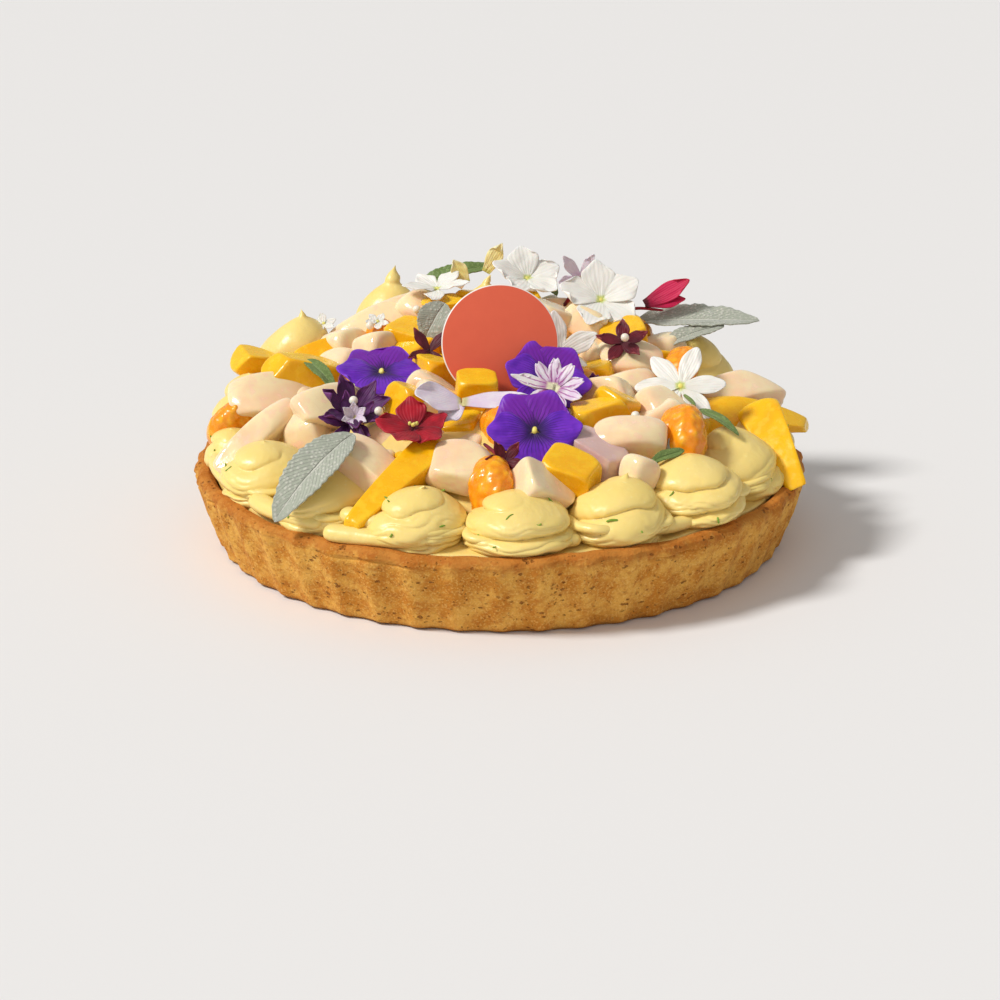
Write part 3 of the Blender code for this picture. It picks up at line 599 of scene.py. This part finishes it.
def petal_skin(name, body, edge, throat, vein, vein_amount, throat_end=0.12, veins=9, rough=0.5, fade=0.75):
    """Velvety petal: the body tone, another to the rim, a throat at the foot, and lines that run
    out from it and fade; towards the foot it darkens, partly its own dark centre and partly painted
    shade in the throat. The chart gives the place: X across, in steps of one for each kind of
    petal, and Y out along it."""
    skin = Skin(
        name, body[0], rough, Sheen_Weight=0.08,
        Specular_IOR_Level=0.3, Subsurface_Weight=0.05, Subsurface_Scale=0.001,
    )
    chart = skin.add("TexCoord").outputs["UV"]
    across, out = skin.part(chart, "X"), skin.part(chart, "Y")
    kind = skin.sum(across, 0, "FLOOR")
    side = skin.sum(skin.sum(across, 0, "FRACT"), -0.5)
    flat = skin.span(skin.noise(5, 2), 0.35, 0.65)
    tone = skin.blend(flat, body[0], body[1])
    tone = skin.blend(skin.sum(kind, 0.9, "MULTIPLY"), tone, body[2])
    tone = skin.blend(skin.span(out, 0.80, 1.0, 0, 0.6), tone, edge)
    spread = skin.sum(skin.sum(side, veins * FULL_TURN, "MULTIPLY"), skin.sum(skin.noise(3, 2), 2.4, "MULTIPLY"))
    line = skin.sum(skin.sum(spread, 0, "SINE"), 0, "ABSOLUTE")
    line = skin.sum(skin.span(line, 0.62, 0.0), skin.span(out, fade, fade * 0.25), "MULTIPLY")
    tone = skin.blend(skin.sum(line, vein_amount, "MULTIPLY"), tone, vein)
    # Darker towards the foot: partly the flower's own dark centre, partly painted shade in the throat.
    tone = skin.blend(skin.span(out, 0.46, 0.08, 0, vein_amount**2), tone, vein)
    tone = skin.blend(skin.span(out, throat_end + 0.05, throat_end - 0.04), tone, throat)
    skin.put(skin.shader, {"Base Color": tone})
    skin.bump(skin.span(skin.sum(skin.sum(spread, 1.5, "MULTIPLY"), 0, "SINE"), -1, 1), 0.05)
    skin.bump(skin.noise(0.5, 2), 0.02)
    return skin


viola = petal_skin(
    "viola", ((0.11, 0.010, 0.40), (0.17, 0.022, 0.52), (0.17, 0.012, 0.34)), (0.20, 0.04, 0.60),
    (0.90, 0.50, 0.03), (0.012, 0.001, 0.045), 0.95, 0.02, 7, 0.45, 0.85,
)


def viola_petals(radius, seed):
    """Two upper petals behind, two at the sides and a broad notched one below."""
    upper = dict(length=radius * 1.0, width=radius * 1.12, claw=0.2, widest=0.58, ruffle=2.2, cup=-0.08)
    side = dict(length=radius * 0.98, width=radius * 0.90, claw=0.12, ruffle=1.8, cup=-0.12, gutter=-0.05)
    lower = dict(length=radius * 0.92, width=radius * 1.25, claw=0.1, widest=0.66, notch=0.12)
    lower.update(ruffle=2.2, cup=-0.14, gutter=0.06)
    return [
        (62, 14, -1.2, petal(**upper, seed=seed, kind=1)),
        (120, 9, -0.6, petal(**upper, seed=seed + 1, kind=1)),
        (2, 12, 0.0, petal(**side, seed=seed + 2)), (178, 14, 0.2, petal(**side, seed=seed + 3)),
        (-90, 9, 0.5, petal(**lower, seed=seed + 4)),
    ]


VIOLAS = (  # node, centre, radius, turn
    ("viola_left", (-46, -7, 64.5), 18, (18, 4, 8)),
    ("viola_centre", (18, -24, 67), 17.5, (40, 10, -8)),
    ("viola_front", (12.5, -64, 59), 18, (44, 4, 6)),
)
eye = Skin("viola_eye", (0.90, 0.75, 0.10), 0.5)
eye.put(eye.shader, {"Base Color": eye.blend(eye.noise(1.2, 2), (0.90, 0.66, 0.05), (0.75, 0.80, 0.30))})
eye.bump(eye.noise(0.6, 2), 0.1)
for seed, (node, at, radius, turn) in enumerate(VIOLAS):
    flower(node + "_petals", at, turn, viola_petals(radius, 10 * seed), viola, [node])
    bead = cut_piece((2.0, 3.0, 2.6), turn, np.array(at) + (0, -0.4, 0.7), SQUARE, 3, 0.1, seed, fine=0.3)
    surface(node + "_eye", [bead], eye.material)

# ---------------------------------------------------------------- white flowers
# White phlox with five broad petals on a narrow tube, and starry ones with long, separate petals.
# Two tiny blossoms lie on the back left.

white = petal_skin(
    "white_petal", ((0.86, 0.83, 0.76), (0.84, 0.80, 0.72), (0.86, 0.82, 0.75)), (0.88, 0.86, 0.82),
    (0.62, 0.66, 0.20), (0.66, 0.66, 0.48), 0.3, 0.10, 5, 0.45,
)


def whorl(count, turn=0, rise=8, seed=0, **shape):
    """count petals of this shape evenly round, each a little different."""
    chance = np.random.default_rng(seed)
    made = []
    for step in range(count):
        heading = turn + 360 / count * step + chance.uniform(-6, 6)
        slope = rise + chance.uniform(-6, 6)
        made.append((heading, slope, 0.25 * (step % 3), petal(**shape, seed=seed + step)))
    return made


BROAD = dict(length=16, width=13.5, claw=0.22, widest=0.66, ruffle=1.8, cup=-0.10, gutter=0.06)
STARRY = dict(length=16.5, width=7.0, claw=0.45, widest=0.60, ruffle=0.8, cup=-0.05, blunt=0.4)
WHITE_FLOWERS = (  # name, node, centre, turn, petals
    ("phlox_back", ["white_phlox_back"], (41, 42, 81), (34, 8, 10),
     whorl(5, 20, 18, 1, **{**BROAD, "length": 18, "width": 14.5})),
    ("phlox_right", ["white_phlox_right"], (69, -20, 63), (46, -6, 0),
     whorl(6, 64, 2, 7, **{**STARRY, "width": 8, "claw": 0.2, "blunt": 0.8, "length": 17.5})),
    ("phlox_top", ["white_phlox_top"], (11, 56, 86.5), (24, 12, 20), whorl(5, 10, 20, 14, **BROAD)),
    ("phlox_left", ["white_phlox_left"], (-26, 52, 83), (10, -6, 50),
     whorl(5, 0, 18, 21, **{**BROAD, "length": 15, "width": 8.5})),
    ("phlox_behind", [], (23.5, 6, 69), (56, 20, 0),
     whorl(5, 26, 14, 28, **{**STARRY, "length": 17, "width": 8.5, "blunt": 0.6})),
    ("tiny_left", [], (-73, 50, 69), (30, 0, 10),
     whorl(5, 18, 0, 35, length=5.5, width=3.4, claw=0.3, cup=0.1)),
    ("tiny_right", [], (-50, 38, 73), (30, 0, 40),
     whorl(5, 18, 0, 42, length=5.0, width=3.2, claw=0.3, cup=0.1)),
)
for name, node, at, turn, petals in WHITE_FLOWERS:
    flower("white_" + name, at, turn, petals, white, node)
    size = 2.6 if "phlox" in name else 1.6
    bead = cut_piece((size, size, 2), turn, at, SQUARE, 3, 0.1, 1, fine=0.3)
    surface("white_" + name + "_eye", [bead], eye.material)

# A striped phlox lies on the middle viola: narrow white lobes with magenta lines down the
# middle and at the edges.
striped = petal_skin(
    "striped_petal", ((0.84, 0.76, 0.80), (0.76, 0.60, 0.74), (0.84, 0.78, 0.74)), (0.86, 0.82, 0.82),
    (0.80, 0.74, 0.50), (0.36, 0.03, 0.28), 0.95, 0.16, 1.0, 0.5, 1.35,
)
lobes = whorl(
    9, 10, 10, 50, length=13.0, width=5.0, claw=0.4, widest=0.6, cup=0.04, ruffle=0.9, blunt=0.5, notch=0.14,
)
lobes.append((168, 6, 1.2, petal(17, 5.0, 0.5, cup=0.0, ruffle=0.8, blunt=0.3, seed=61, kind=1)))
flower("striped_phlox", (20, -36.5, 67), (44, 6, 0), lobes, striped)

# ---------------------------------------------------------------- red flowers
# A dark red phlox at the front left, a narrow-petalled one behind it, a maroon star on the right,
# a small dried flower at the front and single crimson petals at the back.

red = petal_skin(
    "red_petal", ((0.42, 0.003, 0.016), (0.28, 0.002, 0.012), (0.60, 0.005, 0.075)), (0.50, 0.008, 0.03),
    (0.10, 0.002, 0.01), (0.08, 0.002, 0.01), 0.6, 0.10, 6,
)
maroon = petal_skin(
    "maroon_petal", ((0.13, 0.003, 0.012), (0.08, 0.002, 0.010), (0.16, 0.004, 0.016)), (0.34, 0.06, 0.06),
    (0.06, 0.002, 0.008), (0.05, 0.001, 0.006), 0.6, 0.10, 5,
)
SHORT = dict(length=14, width=11.5, claw=0.25, widest=0.64, ruffle=1.4, cup=0.04)
THIN = dict(length=10.5, width=4.4, claw=0.4, widest=0.55, ruffle=0.6, cup=0.08, blunt=0.3)
RED_PHLOX_AT = (-31.5, -64, 60)
RED_FLOWERS = (
    ("phlox_front", ["red_phlox"], RED_PHLOX_AT, (20, 0, 0), whorl(5, 30, 12, 60, **SHORT)),
    ("narrow_left", [], (-28, 5, 70), (40, 0, 0), whorl(4, 40, 14, 66, **{**THIN, "length": 11})),
    ("star_right", [], (48.5, 9, 72.5), (36, -4, 0),
     whorl(5, 20, 4, 72, **{**THIN, "width": 5.6, "length": 11})),
    ("petals_back", [], (60, 53, 76.5), (50, 0, 0), [
        (26, 8, 0, petal(21, 8.5, 0.5, cup=0.1, ruffle=1.2, seed=78, kind=1)),
        (6, 2, 0.4, petal(17, 6, 0.5, cup=0.05, ruffle=1.0, seed=79, kind=1)),
    ]),
    ("dried_front", [], (2, -81, 53.5), (50, 0, 0),
     whorl(5, 120, 26, 80, **{**THIN, "length": 8.5, "width": 4, "ruffle": 1.6})),
)
for name, node, at, turn, petals in RED_FLOWERS:
    skin = maroon if name in ("narrow_left", "star_right", "dried_front") else red
    flower("red_" + name, at, turn, petals, skin, node)
DOTS = ((0, -1, 2), (1.4, -0.5, 2.4), (-1.2, -0.2, 2.3), (0.5, -2.2, 2.6))
gold_dots = [
    cut_piece((1.3, 1.3, 1.6), (0, 0, 0), np.add(RED_PHLOX_AT, dot), SQUARE, 3, 0.1, 3, fine=0.2)
    for dot in DOTS
]
surface("red_phlox_anthers", gold_dots, eye.material)

# two pale-yellow petals stand on their ends behind the topper
primrose = petal_skin(
    "primrose_petal", ((0.88, 0.74, 0.26), (0.88, 0.78, 0.40), (0.88, 0.76, 0.30)), (0.90, 0.84, 0.62),
    (0.62, 0.60, 0.16), (0.66, 0.56, 0.16), 0.4, 0.10, 5, 0.45,
)
TIPS = (  # centre, petal
    ((-14, 60, 84), (120, 0, 0, petal(11, 7, 0.5, ruffle=1.0, blunt=0.3, seed=120))),
    ((-6, 66, 87), (60, 0, 0, petal(14, 7, 0.5, ruffle=1.0, blunt=0.25, seed=121))),
)
for number, (place, tip) in enumerate(TIPS, 1):
    flower(f"primrose_tip_{number}", place, (75, 0, 0), [tip], primrose)

# ---------------------------------------------------------------- lilac and purple flowers
# A pale lilac phlox lies open before the topper, one stands at the back on a crimson stalk, and a
# head of purple salvia with its pale felted calyx lies on the left.

lilac = petal_skin(
    "lilac_petal", ((0.80, 0.72, 0.76), (0.74, 0.62, 0.72), (0.80, 0.74, 0.76)), (0.82, 0.76, 0.80),
    (0.58, 0.50, 0.22), (0.50, 0.28, 0.50), 0.5, 0.08, 7,
)
shell = [
    (186, 22, 0, petal(19, 14, 0.4, widest=0.6, cup=0.06, gutter=0.12, ruffle=1.6, blunt=0.65, seed=90)),
    (-2, 8, 1.0, petal(27, 8.5, 0.45, widest=0.5, cup=-0.02, gutter=0.08, ruffle=1.2, blunt=0.35, seed=91)),
    (232, 4, 0.4, petal(13, 9, 0.4, widest=0.6, cup=0.05, ruffle=1.4, seed=92)),
]
flower("lilac_open", (-14, -49, 65), (30, 0, 0), shell, lilac, ["lilac_phlox"])
flower("lilac_back", (33.5, 58, 86), (60, 0, 0),
       whorl(5, 60, 34, 94, length=13, width=5, claw=0.4, cup=0.1, ruffle=0.8), lilac)
purple = petal_skin(
    "salvia_petal", ((0.10, 0.012, 0.11), (0.06, 0.006, 0.07), (0.16, 0.03, 0.16)), (0.20, 0.04, 0.20),
    (0.05, 0.005, 0.05), (0.03, 0.003, 0.03), 0.8, 0.10, 6,
)
SALVIA = dict(claw=0.45, cup=0.2, ruffle=1.8, blunt=0.4)
flower("salvia_upper", (-55, -38, 58), (30, 10, 0),
       whorl(7, 10, 16, 100, length=15, width=7, **SALVIA), purple)
flower("salvia_lower", (-56, -44, 56), (46, 0, 30),
       whorl(5, 0, 16, 106, length=12, width=5, **SALVIA), purple)
flower("salvia_calyx", (-54, -45, 58.5), (56, 0, 0),
       whorl(6, 30, 26, 110, length=6, width=3.2, claw=0.5, cup=0.1, blunt=0.3), lilac)
flower("bud_cluster", (36, -14, 61), (40, 0, 0),
       whorl(7, 0, 50, 115, length=5.5, width=3, claw=0.5, cup=0.1, blunt=0.3), purple)

# ---------------------------------------------------------------- leaves and stalks
# Felted sage leaves with a crinkled net of veins and a finely toothed edge, two or three thin
# green leaves, and the stalks of the flowers.


def leaf(base, tip, width, arch=4.0, face=(0, 0, 1), fold=0.12, seed=0):
    """A pointed leaf from base to tip. Rows run along it. The half-width is a sine with a blunt
    power, toothed at the edge; arch bows it out along its length, fold closes it on the midrib,
    and face is the way its upper side looks."""
    rows, columns = 61, 25
    out = np.linspace(0, 1, rows)[:, None]
    across = np.linspace(-1, 1, columns)[None, :]
    axis = np.array(tip, float) - base
    length = np.linalg.norm(axis)
    ahead = axis / length
    side = np.cross(face, ahead)
    side /= np.linalg.norm(side)
    up = np.cross(ahead, side)
    teeth = 1 + 0.035 * np.abs(across) ** 6 * np.sin(out * 84)
    half = width / 2 * np.sin(np.pi * out**0.85) ** 0.62 * teeth
    y = half * across
    flat = np.stack(np.broadcast_arrays(out * length, y, seed * 9.0), -1)
    z = arch * 4 * out * (1 - out) + fold * half * np.abs(across) * 2
    z = z + 0.5 * waves(flat, 9, 700 + seed) * (0.3 + np.abs(across))
    z = z - 0.35 * np.exp(-((across / 0.07) ** 2)) * (1 - out)
    x = length * out
    place = x[..., None] * ahead + y[..., None] * side + z[..., None] * up + np.array(base)
    return place, np.stack(np.broadcast_arrays(0.5 + 0.5 * across, out), -1)


def leaf_skin(name, body, dark, pale, net, felt):
    """A net of fine veins between the side veins, which leave the midrib at a slant."""
    skin = Skin(name, body, 0.85 if felt else 0.5, Sheen_Weight=0.5 if felt else 0.1)
    chart = skin.add("TexCoord").outputs["UV"]
    away = skin.sum(skin.sum(skin.part(chart, "X"), -0.5), 0, "ABSOLUTE")
    slant = skin.sum(skin.part(chart, "Y"), skin.sum(away, -0.55, "MULTIPLY"))
    ribs = skin.sum(skin.sum(skin.sum(slant, 62.0, "MULTIPLY"), 0, "SINE"), 0, "ABSOLUTE")
    rib = skin.span(ribs, 0.22, 0.02)
    middle = skin.span(away, 0.035, 0.012)
    mesh = skin.cells(net, feature="F1")
    tone = skin.blend(skin.span(mesh, 0.15, 0.6), body, dark)
    lines = skin.sum(skin.sum(rib, 0.45, "MULTIPLY"), skin.sum(middle, 0.85, "MULTIPLY"), "MAXIMUM")
    tone = skin.blend(lines, tone, pale)
    tone = skin.blend(skin.span(skin.noise(8, 2), 0.4, 0.65, 0, 0.35), tone, dark)
    skin.put(skin.shader, {"Base Color": tone})
    skin.bump(skin.span(mesh, 0.6, 0.1), 0.22 if felt else 0.12)
    skin.bump(skin.sum(skin.sum(rib, middle, "MAXIMUM"), -1, "MULTIPLY"), 0.3)
    skin.bump(skin.noise(0.25, 2), 0.04)
    return skin


sage = leaf_skin("sage", (0.56, 0.55, 0.46), (0.38, 0.40, 0.31), (0.68, 0.66, 0.56), 1.5, True)
green = leaf_skin("green_leaf", (0.24, 0.34, 0.09), (0.15, 0.23, 0.05), (0.40, 0.50, 0.20), 1.0, False)
LEAVES = (  # name, node, skin, base, tip, width, arch, way it faces
    ("sage_front", ["sage_leaf_front"], sage, (-53, -69, 60), (-79, -98, 37), 18, 3, (-0.3, -0.7, 0.9)),
    ("sage_back", ["sage_leaf_back"], sage, (57, 53, 69.5), (107, 47, 71), 20, 0.5, (0, -0.20, 1)),
    ("sage_back_small", [], sage, (92, 42, 70.5), (62, 34, 61), 9, 2, (0, -0.35, 1)),
    ("sage_middle", [], sage, (-22, 26, 84), (-30, 22, 70), 14, 2, (-0.2, -1, 0.4)),
    ("sage_thin", [], green, (-77, 6, 66), (-64, -10, 58.5), 7, 2, (0.3, -0.6, 1)),
    ("sage_curled", [], sage, (70, -30, 59), (61, -60, 49), 6, 4, (0.5, -0.4, 1)),
    ("green_right", [], green, (75, -34, 58), (89, -45, 51.5), 4.5, 1.5, (0, -0.3, 1)),
    ("green_low", [], green, (67, -63, 51.5), (54, -68, 48), 4.5, 1, (0, -0.6, 1)),
    ("green_arc", [], green, (-36, 66, 80), (-3, 72, 88), 9, 2.5, (0, -0.5, 1)),
    ("green_arc_right", [], green, (24, 62, 78), (4, 70, 90), 9, 3, (0.4, -0.3, 1)),
)
for seed, (name, node, skin, base, tip, width, arch, face) in enumerate(LEAVES):
    grid = leaf(base, tip, width, arch, face, seed=seed)
    surface(name + "_leaf", [grid], skin.material, node, 0.45, False)


def strand(path, radius, taper=0.0, columns=17, rows=48, flat=1.0):
    """A smooth strand through the points of path, closed at both ends. Rows run along it: each
    is a circle, flattened if asked, set square to the path."""
    path = np.array(path, float)
    knots = np.linspace(0, 1, len(path))
    rate = np.gradient(path, knots, axis=0)
    along = np.linspace(0, 1, rows)
    spot = np.clip(np.searchsorted(knots, along, "right") - 1, 0, len(path) - 2)
    span = knots[1]
    share = ((along - knots[spot]) / span)[:, None]
    a, b, m, n = path[spot], path[spot + 1], rate[spot] * span, rate[spot + 1] * span
    line = (2 * share**3 - 3 * share**2 + 1) * a + (share**3 - 2 * share**2 + share) * m
    line = line + (3 * share**2 - 2 * share**3) * b + (share**3 - share**2) * n
    ahead = np.gradient(line, axis=0)
    ahead /= np.linalg.norm(ahead, axis=1, keepdims=True)
    side = np.cross((0, 0, 1.0), ahead)
    side /= np.linalg.norm(side, axis=1, keepdims=True) + 1e-9
    up = np.cross(ahead, side)
    end = np.sqrt(np.clip(1 - (2 * np.abs(along - 0.5)) ** 10, 0, 1))
    size = (radius * (1 - taper * along) * end)[:, None, None]
    angle = np.linspace(0, 2 * np.pi, columns)[None, :, None]
    place = line[:, None] + size * (np.cos(angle) * side[:, None] + flat * np.sin(angle) * up[:, None])
    return place, chart_of(rows, columns)


STALKS = (
    (green, ((-77, 6, 66), (-66, 6, 62), (-52, 2, 62)), 0.6),
    (green, ((70, -24, 61), (73, -34, 60), (71, -46, 56), (62, -58, 50)), 0.8),
    (red, ((26, 50, 76), (32, 57, 83), (33, 59, 87)), 0.9),
    (red, ((50, 50, 72), (56, 52, 75), (68, 53, 74)), 0.8),
    (purple, ((-54, -46, 58), (-50, -56, 54), (-47, -62, 52)), 1.1),
    (red, ((-6, -74, 58), (0, -80, 55), (8, -86, 49)), 0.7),
)
for number, (skin, path, radius) in enumerate(STALKS, 1):
    surface(f"stalk_{number}", [strand(path, radius, 0.3)], skin.material)

# ---------------------------------------------------------------- ribbons of cream
# The nozzle left some loose folds of cream at the foot of the kisses, lying on the rim,
# and seven thin folds run round the foot of each kiss.

RIBBONS = (
    (((-62, -97, 33), (-50, -101, 33), (-38, -105, 33), (-24, -107, 32.5)), 4.2),
    (((-56, -91, 38), (-46, -97, 37), (-36, -100, 37), (-26, -103, 35)), 4.0),
    (((-90, -66, 34), (-82, -77, 34), (-72, -86, 34), (-62, -93, 34)), 4.4),
    (((8, -108, 33), (18, -107, 33), (28, -104, 33)), 3.6),
    (((52, -94, 33), (62, -90, 33), (72, -82, 33)), 3.6),
    (((-108, -22, 35), (-106, -34, 35), (-101, -46, 34), (-96, -56, 34)), 4.6),
)
INSIDE_RIM = 111
folds = [strand(path, radius, 0.2, flat=0.8) for path, radius in RIBBONS]
chance = np.random.default_rng(5)
for clock, out, radius, *_ in KISSES:
    middle = around(clock, out, 0)
    for _ in range(7):
        start, sweep = clock + chance.uniform(-110, 30), chance.uniform(30, 50)
        reach = radius * chance.uniform(0.92, 1.06, 4)
        high = chance.uniform(32.5, 37) + chance.uniform(-0.8, 0.8, 4)
        path = [middle + around(start + sweep * step, reach[step] - 1.5, high[step]) for step in range(4)]
        for point in path:
            point[:2] *= min(1, INSIDE_RIM / math.hypot(*point[:2]))
        folds.append(strand(path, chance.uniform(1.5, 2.6), 0.1, flat=0.75))
surface("ribbons_of_cream", folds, cream.material)

# ---------------------------------------------------------------- sugar pearls and zest
# Ivory sugar pearls 4.7 mm across lie on the heap, and flecks of grated lime zest on the cream.

ivory = Skin("sugar_pearl", (0.86, 0.80, 0.68), 0.28, Subsurface_Weight=0.1, Subsurface_Scale=0.001)
ivory.put(ivory.shader, {"Base Color": ivory.blend(ivory.noise(1.5, 2), (0.87, 0.82, 0.70), (0.84, 0.77, 0.63))})
ivory.bump(ivory.noise(0.8, 2), 0.03)
PEARLS = (
    (-54.5, -42, 64.2), (-45, -45, 61), (-53, 36, 72), (-34, 41, 77.5), (49, 5, 75.5), (42, 30, 75.5),
    (47.5, -35, 61.5), (50, -49, 60.5),
)
beads = [cut_piece((4.7, 4.7, 4.7), (0, 0, 0), at, SQUARE, 2, 0, 1, ball=1.0, fine=0.35) for at in PEARLS]
surface("sugar_pearls", beads, ivory.material)

zest = Skin("lime_zest", (0.22, 0.36, 0.03), 0.5)
zest.put(zest.shader, {"Base Color": zest.blend(zest.noise(1.0, 2), (0.26, 0.40, 0.03), (0.12, 0.26, 0.02))})
zest.bump(zest.noise(0.4, 2), 0.05)
chance = np.random.default_rng(21)
flecks = []
for place in kiss_points:
    for _ in range(6):
        row, column = chance.integers(14, 66), chance.integers(0, 96)
        middle = place[row, column]
        way = chance.normal(size=3)
        way *= chance.uniform(1.0, 2.4) / np.linalg.norm(way)
        bow = chance.uniform(-0.6, 0.6, 3)
        flecks.append(strand((middle - way, middle + bow, middle + way), chance.uniform(0.28, 0.52), 0.3, 7, 9))
surface("flecks_of_zest", flecks, zest.material)

# ---------------------------------------------------------------- stage, light and camera
# A plain pale floor and backdrop, one broad soft lamp high on the front left and an even room.

plane = bpy.data.meshes.new("floor")
edge = 2.5
plane.from_pydata([(-edge, -edge, 0), (edge, -edge, 0), (edge, edge, 0), (-edge, edge, 0)], [], [(0, 1, 2, 3)])
floor = bpy.data.objects.new("floor", plane)
bpy.context.scene.collection.objects.link(floor)
ground = Skin("floor", (0.80, 0.78, 0.76), 0.75)
plane.materials.append(ground.material)

room = bpy.data.worlds.new("room")
room.use_nodes = True
room.node_tree.nodes["Background"].inputs["Color"].default_value = (1, 1, 1, 1)
room.node_tree.nodes["Background"].inputs["Strength"].default_value = 0.38
bpy.context.scene.world = room

LAMPS = (  # name, strength, softness in degrees, height and heading in degrees
    ("key", 2.75, 14, 46, -74),
    ("fill", 0.28, 60, 35, 0),
)
for name, strength, softness, tall, heading in LAMPS:
    lamp = bpy.data.lights.new(name, "SUN")
    lamp.energy = strength
    lamp.angle = math.radians(softness)
    holder = bpy.data.objects.new(name, lamp)
    holder.rotation_euler = (math.radians(90 - tall), 0, math.radians(heading))
    bpy.context.scene.collection.objects.link(holder)

lens = bpy.data.cameras.new("camera")
lens.lens = 71.8
lens.clip_start = 0.01
camera = bpy.data.objects.new("camera", lens)
tall, far, aim = math.radians(20), 0.8, 9.5 * MM
camera.location = (0, -far * math.cos(tall), aim + far * math.sin(tall))
camera.rotation_euler = (math.radians(90) - tall, 0, 0)
bpy.context.scene.collection.objects.link(camera)
bpy.context.scene.camera = camera
bpy.context.scene.view_settings.view_transform = "Standard"
